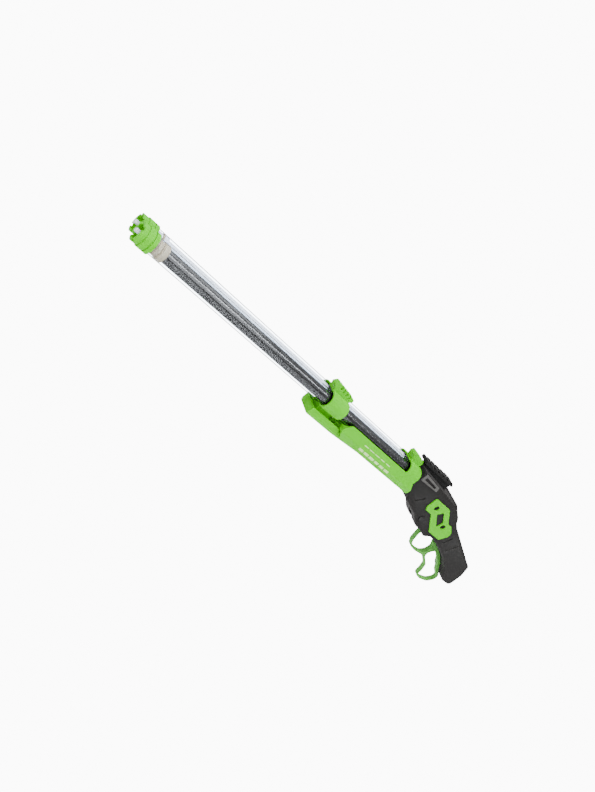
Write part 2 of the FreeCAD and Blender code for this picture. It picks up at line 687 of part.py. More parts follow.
# ---------------------------------------------------------------- green side plates and port panels
plate_outline = [
    (-123.0, 49.5, 3), (-80.0, 49.4, 5), (-50.0, 27.5, 4), (-38.5, 27.3, 5), (-24.0, 18.0, 6),
    (-21.8, 8.5, 4), (-31.0, -7.0, 4), (-64.5, -6.6, 5), (-99.5, 21.2, 4), (-117.0, 21.2, 4),
    (-122.4, 26.5, 4),
]
window = [(-82.0, 38.5, 2), (-61.5, 23.4, 2), (-63.6, 8.4, 2), (-90.4, 28.2, 2)]
plate = doc.addObject("PartDesign::Body", "plate")
pad(plate, plate_outline, "XZ_Plane", "plate_thickness", RECEIVER_HALF)
plate_holes = [{"at": at, "radius": "plate_hole_radius"} for at in PLATE_SCREWS]
pocket(plate, [window] + plate_holes, "XZ_Plane", "plate_thickness", f"{RECEIVER_HALF} + plate_thickness")
keep(plate, "side_plate_left")
keep(mirrored(plate), "side_plate_right")
plate_screws = []
for sign in (-1, 1):
    for x, z in PLATE_SCREWS:
        head_at = f"-{RECEIVER_HALF}" if sign < 0 else f"{RECEIVER_HALF} + 1.2"
        shank_at = f"-{RECEIVER_HALF} + 7" if sign < 0 else f"{RECEIVER_HALF} + 0.5"
        head = cylinder("screw_head_radius", 1.2, x, head_at, z, SIDE_VIEW)
        shank = cylinder("screw_radius", 7.5, x, shank_at, z, SIDE_VIEW)
        plate_screws.append(fuse([head, shank]))
keep(group(plate_screws), "plate_screws")

panel = doc.addObject("PartDesign::Body", "panel")
panel_front = parting(62.0) + 4
pad(panel, [(panel_front, 55.5, 2), (panel_front, 70.0, 2), (-141.0, 66.0, 2), (-138.0, 57.0, 2)],
    "XZ_Plane", 1.4, RECEIVER_HALF)
pocket(panel, [[(panel_front + 6, 60.0, 1), (panel_front + 6, 66.0, 1), (-148.0, 63.0, 1),
               (-146.0, 59.0, 1)]],
       "XZ_Plane", 1.4, f"{RECEIVER_HALF} + 1.4")
keep(panel, "port_panel_left")
keep(mirrored(panel), "port_panel_right")

# ---------------------------------------------------------------- accessory rail
RAIL_FRONT = "(receiver_front - 3.0)"
RAIL_REAR = -105.0
RAIL_SLOTS = 6
rail_front = value(RAIL_FRONT)
rail_top = value("rail_top")
rail_under = rail_top - value("rail_thickness")
slope = (TOP_LINE[1][1] - TOP_LINE[0][1]) / (TOP_LINE[1][0] - TOP_LINE[0][0])
foot_start = TOP_LINE[0][0] + 5
foot_end = RAIL_REAR - 3


def top_at(x):
    return TOP_LINE[0][1] + slope * (x - TOP_LINE[0][0])


foot_half = "rail_foot_width / 2"
foot = extruded([
    (foot_start, top_at(foot_start), 0), (foot_start, rail_under + 1, 0), (foot_end, rail_under + 1, 0),
    (foot_end, top_at(foot_end), 0),
], SIDE_VIEW, foot_half, foot_half)
top_plate = extruded([
    (rail_front, rail_under + 1.5, 1), (rail_front, rail_top, 1), (RAIL_REAR - 6, rail_top, 2),
    (RAIL_REAR, rail_under + 1.5, 1.5), (RAIL_REAR - 4, rail_under, 1), (rail_front + 2, rail_under, 1),
], SIDE_VIEW, "rail_width / 2", "rail_width / 2")
slots = [box(5.4, 40, 10, rail_front + 6 + value("rail_pitch") * index, -20, "rail_top - rail_slot_depth")
         for index in range(RAIL_SLOTS)]
RAIL_SCREWS = [foot_start + 12, foot_end - 12]
rail_holes = [cylinder("screw_radius + fit_gap", 40, x, 0, 50, Rotation()) for x in RAIL_SCREWS]
rail_holes += [cylinder("screw_head_radius + fit_gap", 20, x, 0, "rail_top - rail_slot_depth - 2", Rotation())
               for x in RAIL_SCREWS]
keep(cut(fuse([foot, top_plate]), slots + rail_holes), "rail")
rail_screws = []
for x in RAIL_SCREWS:
    head = cylinder("screw_head_radius", 1.6, x, 0, "rail_top - rail_slot_depth - 2", Rotation())
    shank = cylinder("screw_radius", f"rail_top - rail_slot_depth - 2 - {top_at(x)} - 0.1", x, 0,
                     top_at(x) + 0.1,
                     Rotation())
    rail_screws.append(fuse([head, shank]))
keep(group(rail_screws), "rail_screws")

# ---------------------------------------------------------------- lever
LEVER_CLEAR = 0.8
GRIP_BAR = 6.0
under = [(x - 0.5, z - LEVER_CLEAR) for x, z in GRIP_UNDER]
lever_outline = [
    (PIVOT[0] - 7.0, PIVOT[1] + 7.0, 6.9), (PIVOT[0] + 7.0, PIVOT[1] + 7.0, 6), (-60.0, -13.0, 8),
    (-46.8, -19.0, 3),
    (-47.6, -29.0, 8), (-41.5, -47.0, 16), (-33.0, -55.5, 10), (-16.0, -58.4, 30), (-2.0, -56.5, 12),
    (6.5, -48.0, 10), (7.0, -36.0, 8), (-2.0, -25.5, 1.2), (*under[0], 1.5), (*under[1], 60), (*under[2], 30),
    (*under[3], 20), (90.0, -72.0, 6), (93.8, -83.0, 12), (83.0, -98.0, 17), (62.0, -102.5, 15),
    (46.0, -99.5, 8),
    (42.6, -86.0, 12), (36.0, -72.5, 12), (14.0, -60.5, 10), (3.0, -60.0, 6), (-16.0, -61.8, 30),
    (-35.0, -59.0, 12),
    (-45.0, -48.5, 16), (-51.2, -29.5, 8), (-52.0, -21.5, 3), (-64.0, -18.0, 8),
    (PIVOT[0] + 5.0, PIVOT[1] - 6.0, 8),
    (PIVOT[0] - 7.0, PIVOT[1] - 6.4, 6),
]
hand_loop = [
    (20.0, -37.5, 5), (under[1][0] - 1.5, under[1][1] - GRIP_BAR, 50),
    (under[2][0] - 2.8, under[2][1] - GRIP_BAR + 0.6, 26),
    (under[3][0] - 3.2, under[3][1] - GRIP_BAR + 0.9, 16), (86.6, -76.5, 4), (90.2, -83.0, 9),
    (81.0, -94.8, 14),
    (62.0, -99.0, 12), (49.0, -96.6, 5), (46.2, -85.0, 12), (39.0, -70.0, 12), (16.0, -57.0, 7),
    (14.0, -48.5, 6),
]
lever = doc.addObject("PartDesign::Body", "lever")
lever_half = "lever_width / 2"
pad(lever, lever_outline, "XZ_Plane", "lever_width", f"-{lever_half}")
pocket(lever, [hand_loop], "XZ_Plane", "lever_width + 2", f"{lever_half} + 1")
pocket(lever, [{"at": PIVOT, "radius": "pivot_radius + 1.6"}], "XZ_Plane", "lever_width + 2",
       f"{lever_half} + 1")
keep(lever, "lever")
bush_outer = cylinder("pivot_radius + 1.6", "lever_width + 0.8", PIVOT[0], f"{lever_half} + 0.4",
                      PIVOT[1], SIDE_VIEW)
bush_inner = cylinder("pivot_radius + pivot_gap", "lever_width + 4", PIVOT[0], f"{lever_half} + 2",
                      PIVOT[1], SIDE_VIEW)
keep(cut(bush_outer, [bush_inner]), "lever_bush")
PIN_HEAD = 1.6
pin_body = cylinder("pivot_radius", f"2 * {RECEIVER_HALF}", PIVOT[0], RECEIVER_HALF, PIVOT[1], SIDE_VIEW)
pin_heads = [cylinder("pivot_radius + 2.6", PIN_HEAD, PIVOT[0], y, PIVOT[1], SIDE_VIEW)
             for y in (f"{RECEIVER_HALF} + {PIN_HEAD}", f"-{RECEIVER_HALF}")]
keep(fuse([pin_body] + pin_heads), "pivot_pin")

# ---------------------------------------------------------------- check and write
doc.recompute()
for obj in doc.Objects:
    if "Invalid" in obj.State or "Error" in obj.State:
        raise RuntimeError(f"{obj.Name} ({obj.Label}) did not build: {obj.State}")
for label, piece in PIECES.items():
    shape = piece.Shape
    if shape.isNull() or not shape.isValid() or not shape.Solids:
        raise RuntimeError(f"{label} has no valid solid")
os.makedirs("parts", exist_ok=True)
for label, piece in PIECES.items():
    piece.Shape.exportStep(f"parts/{label}.step")
    box_now = piece.Shape.BoundBox
    print(f"{label:18s} solids {len(piece.Shape.Solids)} volume {piece.Shape.Volume:9.0f}"
          f"  x {box_now.XMin:7.1f} {box_now.XMax:7.1f}  y {box_now.YMin:6.1f} {box_now.YMax:6.1f}"
          f"  z {box_now.ZMin:6.1f} {box_now.ZMax:6.1f}")
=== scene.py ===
# %% [markdown]
# # A pull-action twin-cylinder washer, finished in Blender
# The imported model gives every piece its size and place.  This lesson gives the pieces their
# softened moulded edges, their plastics, metals and rubber, and the small hardware that a
# quick stand-in lacks.  Everything is in metres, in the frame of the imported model.

# %% The fixed frame
import math
import bmesh
import bpy
from mathutils import Matrix, Vector


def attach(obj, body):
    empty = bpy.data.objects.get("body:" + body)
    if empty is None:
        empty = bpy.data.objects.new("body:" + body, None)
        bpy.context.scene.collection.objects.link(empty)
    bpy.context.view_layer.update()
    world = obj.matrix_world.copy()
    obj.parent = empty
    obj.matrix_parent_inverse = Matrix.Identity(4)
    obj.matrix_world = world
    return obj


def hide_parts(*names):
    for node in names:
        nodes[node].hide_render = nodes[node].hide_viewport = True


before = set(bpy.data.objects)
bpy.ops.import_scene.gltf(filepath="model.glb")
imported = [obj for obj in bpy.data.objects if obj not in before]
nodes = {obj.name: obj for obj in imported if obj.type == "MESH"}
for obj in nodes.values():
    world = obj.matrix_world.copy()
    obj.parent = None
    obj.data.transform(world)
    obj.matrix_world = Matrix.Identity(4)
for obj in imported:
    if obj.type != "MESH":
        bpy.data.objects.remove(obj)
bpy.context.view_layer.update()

MM = 0.001
print("packed nodes:", len(nodes))

# %% [markdown]
# ## The camera
# The washer is seen from in front of its left side and a little above, by a camera rolled
# so that the long cylinders run across the frame corner to corner.  A camera could be
# parented to an empty and tracked.  Here its turn is worked out from a place, a point that
# it looks at and a roll, so that each of the three can be changed by itself.

# %% Camera
CAMERA_PLACE = Vector((-1.0533, -0.8062, 0.2786))
CAMERA_AIM = Vector((-0.4606, 0.0, 0.0188))
CAMERA_ROLL = math.radians(50.9)
CAMERA_LENS = 31.8
SENSOR = 36.0

camera_data = bpy.data.cameras.new("camera")
camera_data.sensor_fit = "VERTICAL"
camera_data.sensor_height = SENSOR
camera_data.lens = CAMERA_LENS
camera_data.clip_end = 200.0
camera = bpy.data.objects.new("camera", camera_data)
bpy.context.scene.collection.objects.link(camera)
looking = (CAMERA_AIM - CAMERA_PLACE).to_track_quat("-Z", "Y")
camera.matrix_world = (Matrix.Translation(CAMERA_PLACE) @ looking.to_matrix().to_4x4()
                       @ Matrix.Rotation(CAMERA_ROLL, 4, "Z"))
bpy.context.scene.camera = camera
print("camera stands", round((CAMERA_AIM - CAMERA_PLACE).length, 3), "m from its aim")

# %% [markdown]
# ## Floor and studio light
# Polished rods show what surrounds them, so the room matters as much as the rods.  A bright
# ceiling, a dim band at eye height and a pale floor give a dark tube its white line, its
# black band and its grey belly.  The floor and the sky meet at the same white.

# %% Floor, sky and lamps
FLOOR_LEVEL = -0.34
FLOOR_SIZE = 120.0


floor_mesh = bpy.data.meshes.new("floor")
half_floor = FLOOR_SIZE / 2
floor_mesh.from_pydata([(-half_floor, -half_floor, FLOOR_LEVEL), (half_floor, -half_floor, FLOOR_LEVEL),
                        (half_floor, half_floor, FLOOR_LEVEL), (-half_floor, half_floor, FLOOR_LEVEL)],
                       [], [(0, 1, 2, 3)])
floor = bpy.data.objects.new("floor", floor_mesh)
bpy.context.scene.collection.objects.link(floor)

SEEN_WHITE = 11.0
FLOOR_TONE = 0.8
SKY_TOP = 0.55
SKY_BAND = 0.12
BAND_ENDS = 0.25
CEILING_STARTS = 0.75


def seen_directly(tree):
    """One for a ray that has only passed through clear tubes, nought once it has bounced."""
    ray = tree.nodes.new("ShaderNodeLightPath")
    bounces = tree.nodes.new("ShaderNodeMath")
    bounces.operation = "ADD"
    tree.links.new(ray.outputs["Diffuse Depth"], bounces.inputs[0])
    tree.links.new(ray.outputs["Glossy Depth"], bounces.inputs[1])
    none_yet = tree.nodes.new("ShaderNodeMath")
    none_yet.operation = "LESS_THAN"
    none_yet.inputs[1].default_value = 0.5
    tree.links.new(bounces.outputs[0], none_yet.inputs[0])
    return none_yet.outputs[0]


def backdrop_material(name):
    """A floor that lights the object as a matt sheet and is seen as plain white."""
    material = bpy.data.materials.new(name)
    material.use_nodes = True
    tree = material.node_tree
    tree.nodes.clear()
    matt = tree.nodes.new("ShaderNodeBsdfDiffuse")
    matt.inputs["Color"].default_value = (FLOOR_TONE, FLOOR_TONE, FLOOR_TONE, 1)
    white = tree.nodes.new("ShaderNodeEmission")
    white.inputs["Strength"].default_value = SEEN_WHITE
    choose = tree.nodes.new("ShaderNodeMixShader")
    tree.links.new(seen_directly(tree), choose.inputs["Fac"])
    tree.links.new(matt.outputs[0], choose.inputs[1])
    tree.links.new(white.outputs[0], choose.inputs[2])
    out = tree.nodes.new("ShaderNodeOutputMaterial")
    tree.links.new(choose.outputs[0], out.inputs["Surface"])
    return material


floor_mesh.materials.append(backdrop_material("pale_floor"))
world = bpy.data.worlds.new("studio")
bpy.context.scene.world = world
world.use_nodes = True
tree = world.node_tree
tree.nodes.clear()
direction = tree.nodes.new("ShaderNodeTexCoord")
parts = tree.nodes.new("ShaderNodeSeparateXYZ")
fade = tree.nodes.new("ShaderNodeMapRange")
fade.interpolation_type = "SMOOTHSTEP"
fade.inputs["From Min"].default_value = BAND_ENDS
fade.inputs["From Max"].default_value = CEILING_STARTS
fade.inputs["To Min"].default_value = SKY_BAND
fade.inputs["To Max"].default_value = SKY_TOP
shown = tree.nodes.new("ShaderNodeBackground")
shown.inputs["Color"].default_value = (1, 1, 1, 1)
shown.inputs["Strength"].default_value = SEEN_WHITE
lit = tree.nodes.new("ShaderNodeBackground")
choose = tree.nodes.new("ShaderNodeMixShader")
out = tree.nodes.new("ShaderNodeOutputWorld")
tree.links.new(direction.outputs["Generated"], parts.inputs[0])
tree.links.new(parts.outputs["Z"], fade.inputs["Value"])
tree.links.new(fade.outputs["Result"], lit.inputs["Strength"])
tree.links.new(seen_directly(tree), choose.inputs["Fac"])
tree.links.new(lit.outputs[0], choose.inputs[1])
tree.links.new(shown.outputs[0], choose.inputs[2])
tree.links.new(choose.outputs[0], out.inputs["Surface"])


def lamp(name, place, aim, size, power, depth=None):
    """A soft lamp, square unless it has a depth, that shines from a place towards a point."""
    data = bpy.data.lights.new(name, "AREA")
    data.shape = "SQUARE" if depth is None else "RECTANGLE"
    data.size = size
    data.size_y = size if depth is None else depth
    data.energy = power
    lamp_object = bpy.data.objects.new(name, data)
    bpy.context.scene.collection.objects.link(lamp_object)
    turn = (Vector(aim) - Vector(place)).to_track_quat("-Z", "Y").to_matrix().to_4x4()
    lamp_object.matrix_world = Matrix.Translation(place) @ turn


MIDDLE = (-0.35, 0.0, 0.0)
lamp("key_lamp", (-1.2, -1.6, 2.2), MIDDLE, 1.6, 26)
lamp("top_lamp", (-0.3, 0.9, 2.3), MIDDLE, 2.2, 22)
lamp("floor_lamp", (-0.4, -2.6, 2.6), (-0.4, 2.0, FLOOR_LEVEL), 4.0, 90)
lamp("strip_lamp", (-0.45, -0.75, 1.25), (-0.45, 0.0, 0.05), 2.4, 12, depth=0.14)
print("lamps:", len(bpy.data.lights))

# %% [markdown]
# ## Shared surface effects
# Two effects turn up in several finishes.  Moulded plastic has a fine spark-eroded grain and
# a slow drift of tone, and every edge carries a painted highlight, a little paler in patches,
# and is a little smoother.  Each is a node group, built once, so that a finish only states
# how much of it there is.

# %% Node groups for grain and for painted edge highlights
RIM = "rim"


def group_tree(name, inputs, outputs):
    """An empty shader group with named sockets."""
    group = bpy.data.node_groups.new(name, "ShaderNodeTree")
    for label, kind, default in inputs:
        socket = group.interface.new_socket(label, in_out="INPUT", socket_type=kind)
        if default is not None:
            socket.default_value = default
    for label, kind in outputs:
        group.interface.new_socket(label, in_out="OUTPUT", socket_type=kind)
    return group, group.nodes.new("NodeGroupInput"), group.nodes.new("NodeGroupOutput")


def noise(tree, vector, scale, detail):
    """Noise from 0 to 1 whose scale is a number or another node's output."""
    node = tree.nodes.new("ShaderNodeTexNoise")
    node.inputs["Detail"].default_value = detail
    if isinstance(scale, (int, float)):
        node.inputs["Scale"].default_value = scale
    else:
        tree.links.new(scale, node.inputs["Scale"])
    tree.links.new(vector, node.inputs["Vector"])
    return node.outputs["Fac"]


def math_node(tree, operation, first, second):
    """A sum, product and so on of two sources, each a number or another node's output."""
    node = tree.nodes.new("ShaderNodeMath")
    node.operation = operation
    for socket, source in zip(node.inputs, (first, second)):
        if isinstance(source, (int, float)):
            socket.default_value = source
        else:
            tree.links.new(source, socket)
    return node.outputs[0]


grain, grain_in, grain_out = group_tree(
    "moulded_grain",
    [("Vector", "NodeSocketVector", None), ("Grain Scale", "NodeSocketFloat", 2600.0),
     ("Drift Scale", "NodeSocketFloat", 22.0), ("Drift", "NodeSocketFloat", 0.12)],
    [("Height", "NodeSocketFloat"), ("Tone", "NodeSocketFloat")])
fine = noise(grain, grain_in.outputs["Vector"], grain_in.outputs["Grain Scale"], 2.0)
slow = noise(grain, grain_in.outputs["Vector"], grain_in.outputs["Drift Scale"], 4.0)
centred = math_node(grain, "SUBTRACT", slow, 0.5)
scaled = math_node(grain, "MULTIPLY", centred, grain_in.outputs["Drift"])
grain.links.new(fine, grain_out.inputs["Height"])
grain.links.new(math_node(grain, "ADD", scaled, 1.0), grain_out.inputs["Tone"])

# A painted highlight on bevelled edges: a paler colour mixed in on the rim faces, in patches.
edge, edge_in, edge_out = group_tree(
    "worn_edge",
    [("Vector", "NodeSocketVector", None), ("Rim", "NodeSocketFloat", 0.0),
     ("Color", "NodeSocketColor", None), ("Worn Color", "NodeSocketColor", None),
     ("Amount", "NodeSocketFloat", 0.5)],
    [("Color", "NodeSocketColor"), ("Mask", "NodeSocketFloat")])
PATCHES_PER_METRE = 90.0
patchy = noise(edge, edge_in.outputs["Vector"], PATCHES_PER_METRE, 3.0)
broken = math_node(edge, "MULTIPLY", edge_in.outputs["Rim"], patchy)
mask = math_node(edge, "MULTIPLY", broken, edge_in.outputs["Amount"])
blend = edge.nodes.new("ShaderNodeMix")
blend.data_type = "RGBA"
edge.links.new(mask, blend.inputs["Factor"])
edge.links.new(edge_in.outputs["Color"], blend.inputs["A"])
edge.links.new(edge_in.outputs["Worn Color"], blend.inputs["B"])
edge.links.new(blend.outputs["Result"], edge_out.inputs["Color"])
edge.links.new(mask, edge_out.inputs["Mask"])

# %% [markdown]
# ## Finishes
# Each finish is a Principled shader.  Its constants sit on the shader's own sockets, and
# only what changes over the surface comes through nodes: tone, roughness and fine height.

# %% Finishes
BUMP_STRENGTH = 0.35
EDGE_GLOSS = 0.15    # how much smoother an edge under the painted highlight is


def finish(name, color, painted_highlight, roughness, grain_scale=2600.0, grain_depth=0.00002, drift=0.12,
           highlight_amount=0.5, rough_drift=0.12, metallic=0.0, specular=0.5):
    """A moulded, turned or plated finish with grain, drift of tone and painted highlights on its edges."""
    material = bpy.data.materials.new(name)
    material.use_nodes = True
    tree = material.node_tree
    shader = tree.nodes["Principled BSDF"]
    shader.inputs["Metallic"].default_value = metallic
    shader.inputs["Specular IOR Level"].default_value = specular
    place = tree.nodes.new("ShaderNodeTexCoord").outputs["Object"]
    surface = tree.nodes.new("ShaderNodeGroup")
    surface.node_tree = grain
    surface.inputs["Grain Scale"].default_value = grain_scale
    surface.inputs["Drift"].default_value = drift
    tree.links.new(place, surface.inputs["Vector"])
    rim = tree.nodes.new("ShaderNodeAttribute")
    rim.attribute_name = RIM
    edges = tree.nodes.new("ShaderNodeGroup")
    edges.node_tree = edge
    # The bevel faces take a paler colour, in patches: a painted highlight along the edges.
    edges.inputs["Color"].default_value = (*color, 1)
    edges.inputs["Worn Color"].default_value = (*painted_highlight, 1)
    edges.inputs["Amount"].default_value = highlight_amount
    tree.links.new(place, edges.inputs["Vector"])
    tree.links.new(rim.outputs["Fac"], edges.inputs["Rim"])
    tint = tree.nodes.new("ShaderNodeVectorMath")
    tint.operation = "SCALE"
    tree.links.new(edges.outputs["Color"], tint.inputs[0])
    tree.links.new(surface.outputs["Tone"], tint.inputs["Scale"])
    tree.links.new(tint.outputs[0], shader.inputs["Base Color"])
    uneven = math_node(tree, "MULTIPLY", surface.outputs["Height"], rough_drift)
    rougher = math_node(tree, "ADD", uneven, roughness - rough_drift / 2)
    smoother = math_node(tree, "MULTIPLY", edges.outputs["Mask"], EDGE_GLOSS)
    tree.links.new(math_node(tree, "SUBTRACT", rougher, smoother), shader.inputs["Roughness"])
    bump = tree.nodes.new("ShaderNodeBump")
    bump.inputs["Strength"].default_value = BUMP_STRENGTH
    bump.inputs["Distance"].default_value = grain_depth
    tree.links.new(surface.outputs["Height"], bump.inputs["Height"])
    tree.links.new(bump.outputs["Normal"], shader.inputs["Normal"])
    return material


TUBE_IOR = 1.07     # low, so that a thin wall hardly bends what is seen through it
TUBE_HAZE = 0.012
HAZE_PER_METRE = 60.0


def clear_finish(name, color):
    """Clear polished tube: plain glass constants, and only a faint haze that varies."""
    material = bpy.data.materials.new(name)
    material.use_nodes = True
    tree = material.node_tree
    shader = tree.nodes["Principled BSDF"]
    shader.inputs["Base Color"].default_value = (*color, 1)
    shader.inputs["Transmission Weight"].default_value = 1.0
    shader.inputs["IOR"].default_value = TUBE_IOR
    place = tree.nodes.new("ShaderNodeTexCoord").outputs["Object"]
    haze = noise(tree, place, HAZE_PER_METRE, 3.0)
    tree.links.new(math_node(tree, "MULTIPLY", haze, TUBE_HAZE), shader.inputs["Roughness"])
    return material


LIME = finish("lime_moulding", (0.075, 0.48, 0.0), (0.12, 0.6, 0.0), 0.38, specular=0.12, highlight_amount=0.3)
LEVER_LIME = finish("lever_moulding", (0.085, 0.34, 0.045), (0.10, 0.38, 0.05), 0.45, specular=0.2, highlight_amount=0.05)
BLACK = finish("grip_black", (0.0095, 0.0090, 0.0088), (0.03, 0.03, 0.03), 0.5, grain_scale=1700.0,
               grain_depth=0.00003, drift=0.2, highlight_amount=0.5, specular=0.12)
RAIL_BLACK = finish("rail_black", (0.004, 0.004, 0.004), (0.02, 0.02, 0.02), 0.42, highlight_amount=0.5, specular=0.12)
PORT_GREY = finish("port_grey", (0.034, 0.033, 0.031), (0.09, 0.09, 0.088), 0.5, drift=0.2)
GUNMETAL = finish("gunmetal_rod", (0.105, 0.10, 0.10), (0.3, 0.3, 0.3), 0.21, grain_scale=60.0,
                  grain_depth=0.000001, drift=0.1, rough_drift=0.02, metallic=1.0)
PALE = finish("pale_rod", (0.80, 0.85, 0.97), (0.9, 0.93, 1.0), 0.3, grain_scale=60.0,
              grain_depth=0.000001, drift=0.04)
IVORY = finish("ivory_piston", (0.36, 0.31, 0.22), (0.80, 0.75, 0.62), 0.4, drift=0.1)
AMBER = finish("amber_ring", (0.27, 0.22, 0.14), (0.45, 0.40, 0.30), 0.45, drift=0.1)
WHITE = finish("nozzle_white", (0.80, 0.86, 0.93), (0.95, 0.96, 0.97), 0.28, drift=0.05)
# Black rubber on the wipers; on the gaskets the same black is painted shade inside the band arches.
RUBBER_AND_SHADE_BLACK = finish("seal_rubber", (0.008, 0.008, 0.008), (0.03, 0.03, 0.03), 0.7, grain_scale=1500.0, highlight_amount=0.4)
STEEL = finish("blackened_steel", (0.014, 0.014, 0.014), (0.10, 0.10, 0.10), 0.4, metallic=1.0, highlight_amount=0.6)
PRINT = finish("panel_print", (0.50, 0.86, 0.28), (0.6, 0.9, 0.4), 0.5, drift=0.05)
CLEAR = clear_finish("clear_tube", (0.93, 0.965, 1.0))
print("finishes:", len(bpy.data.materials))

# %% [markdown]
# ## Softened mouldings
# A CAD edge is perfectly sharp, and a moulded one never is.  The way used here copies the
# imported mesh, merges its loose triangles, dissolves its flat faces and bevels what is still
# an edge.  The faces that the bevel makes are remembered in an attribute, so the finish
# knows where the edges are.  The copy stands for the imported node, which keeps its place.

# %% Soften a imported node
MERGE = 0.01 * MM
FLAT = math.radians(0.6)
BEVEL_FROM = math.radians(32)
SHARP_FROM = math.radians(38)


def link(name, mesh):
    """A new object, in the scene, that holds a mesh."""
    piece = bpy.data.objects.new(name, mesh)
    bpy.context.scene.collection.objects.link(piece)
    return piece


def settle(piece):
    """Turn a piece and its modifiers into a plain mesh."""
    graph = bpy.context.evaluated_depsgraph_get()
    mesh = bpy.data.meshes.new_from_object(piece.evaluated_get(graph))
    piece.modifiers.clear()
    old = piece.data
    piece.data = mesh
    mesh.name = piece.name
    bpy.data.meshes.remove(old)
    return piece


def smooth(mesh, angle):
    """Smooth shading that breaks at edges sharper than an angle."""
    for polygon in mesh.polygons:
        polygon.use_smooth = True
    shape = bmesh.new()
    shape.from_mesh(mesh)
    for line in shape.edges:
        line.smooth = len(line.link_faces) == 2 and line.calc_face_angle(0.0) < angle
    shape.to_mesh(mesh)
    shape.free()


def merged_copy(node, name):
    """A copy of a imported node's mesh as one joined skin without needless edges."""
    mesh = nodes[node].data.copy()
    mesh.name = name
    shape = bmesh.new()
    shape.from_mesh(mesh)
    bmesh.ops.remove_doubles(shape, verts=shape.verts, dist=MERGE)
    bmesh.ops.dissolve_limit(shape, angle_limit=FLAT, verts=shape.verts, edges=shape.edges,
                             delimit={"NORMAL"})
    shape.to_mesh(mesh)
    shape.free()
    mesh.materials.clear()
    return mesh


def softened(node, name, material, width):
    """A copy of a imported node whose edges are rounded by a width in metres."""
    piece = link(name, merged_copy(node, name))
    piece.data.materials.append(material)
    piece.data.materials.append(material)
    bevel = piece.modifiers.new("edges", "BEVEL")
    bevel.width = width
    bevel.segments = 2
    bevel.limit_method = "ANGLE"
    bevel.angle_limit = BEVEL_FROM
    bevel.use_clamp_overlap = True
    bevel.material = 1
    bevel.miter_outer = "MITER_SHARP"
    settle(piece)
    mesh = piece.data
    on_rim = {vertex for polygon in mesh.polygons if polygon.material_index == 1
              for vertex in polygon.vertices}
    attribute = mesh.attributes.new(RIM, "FLOAT", "POINT")
    for vertex in on_rim:
        attribute.data[vertex].value = 1.0
    for polygon in mesh.polygons:
        polygon.material_index = 0
    mesh.materials.pop(index=1)
    smooth(mesh, SHARP_FROM)
    piece.modifiers.new("normals", "WEIGHTED_NORMAL").keep_sharp = True
    return settle(piece)


def seat(piece, body, slot, *replaced):
    """Say what a finished piece rides on and what it stands for; the slot, where its finish would come from,
    is not used.
    """
    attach(piece, body)
    if replaced:
        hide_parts(*replaced)


# %% [markdown]
# ## Green, black and clear shells
# The shells differ only in finish and in how round their edges are, so they are listed.
# The clear tubes cast no shadow, so that the lamps light the rods inside them.

# %% Shells
SOFT = [
    # node, finish, slot, body, edge rounding in millimetres
    ("receiver_left", BLACK, "black_plastic", "receiver", 0.5),
    ("receiver_right", BLACK, "black_plastic", "receiver", 0.5),
    ("rail", RAIL_BLACK, "black_plastic", "receiver", 0.45),
    ("side_plate_left", LIME, "green_plastic", "receiver", 0.6),
    ("side_plate_right", LIME, "green_plastic", "receiver", 0.6),
    ("port_panel_left", PORT_GREY, "grey_panel", "receiver", 0.35),
    ("port_panel_right", PORT_GREY, "grey_panel", "receiver", 0.35),
    ("rod_left", GUNMETAL, "dark_rod", "receiver", 0.3),
    ("rod_right", PALE, "white_plastic", "receiver", 0.3),
    ("piston_left", IVORY, "ivory_plastic", "receiver", 0.3),
    ("piston_right", PALE, "white_plastic", "receiver", 0.3),
    ("piston_rings", AMBER, "seal_rubber", "receiver", 0.4),
    ("rod_yoke", BLACK, "black_plastic", "receiver", 0.4),
    ("rod_pins", STEEL, "screw_steel", "receiver", 0.2),
    ("pivot_pin", STEEL, "screw_steel", "receiver", 0.4),
    ("muzzle_cap", LIME, "green_plastic", "barrel_group", 0.5),
    ("nozzle_ring", LIME, "green_plastic", "barrel_group", 0.35),
    ("nozzle_tip_left", WHITE, "white_plastic", "barrel_group", 0.25),
    ("nozzle_tip_right", WHITE, "white_plastic", "barrel_group", 0.25),
    ("front_band", LIME, "green_plastic", "barrel_group", 0.7),
    ("rear_band", LIME, "green_plastic", "barrel_group", 0.7),
    # The two gaskets are black fillers inside the band arches, where there is only shade: their black is
    # painted shade.
    ("front_gasket", RUBBER_AND_SHADE_BLACK, "seal_rubber", "barrel_group", 0.3),
    ("rear_gasket", RUBBER_AND_SHADE_BLACK, "seal_rubber", "barrel_group", 0.3),
    ("glands", BLACK, "black_plastic", "barrel_group", 0.3),
    ("rod_wipers", RUBBER_AND_SHADE_BLACK, "seal_rubber", "barrel_group", 0.3),
    ("forend_left", LIME, "green_plastic", "barrel_group", 0.7),
    ("forend_right", LIME, "green_plastic", "barrel_group", 0.7),
    ("cylinder_left", CLEAR, "clear_plastic", "barrel_group", 0.2),
    ("cylinder_right", CLEAR, "clear_plastic", "barrel_group", 0.2),
    ("lever", LEVER_LIME, "green_plastic", "lever", 1.1),
    ("lever_bush", IVORY, "ivory_plastic", "lever", 0.2),
]
for node, material, slot, body, rounding in SOFT:
    piece = softened(node, node + "_skin", material, rounding * MM)
    piece.visible_shadow = material is not CLEAR
    seat(piece, body, slot, node)
    print(node, "softened:", len(piece.data.polygons), "faces")

# %% [markdown]
# ## Screws
# All the shell screws are one design: a low domed head with a cross recess on a plain shank.
# Hundreds of identical things are best made once and placed on points.  A Geometry Nodes
# tree does that: each point carries the direction that its head faces.

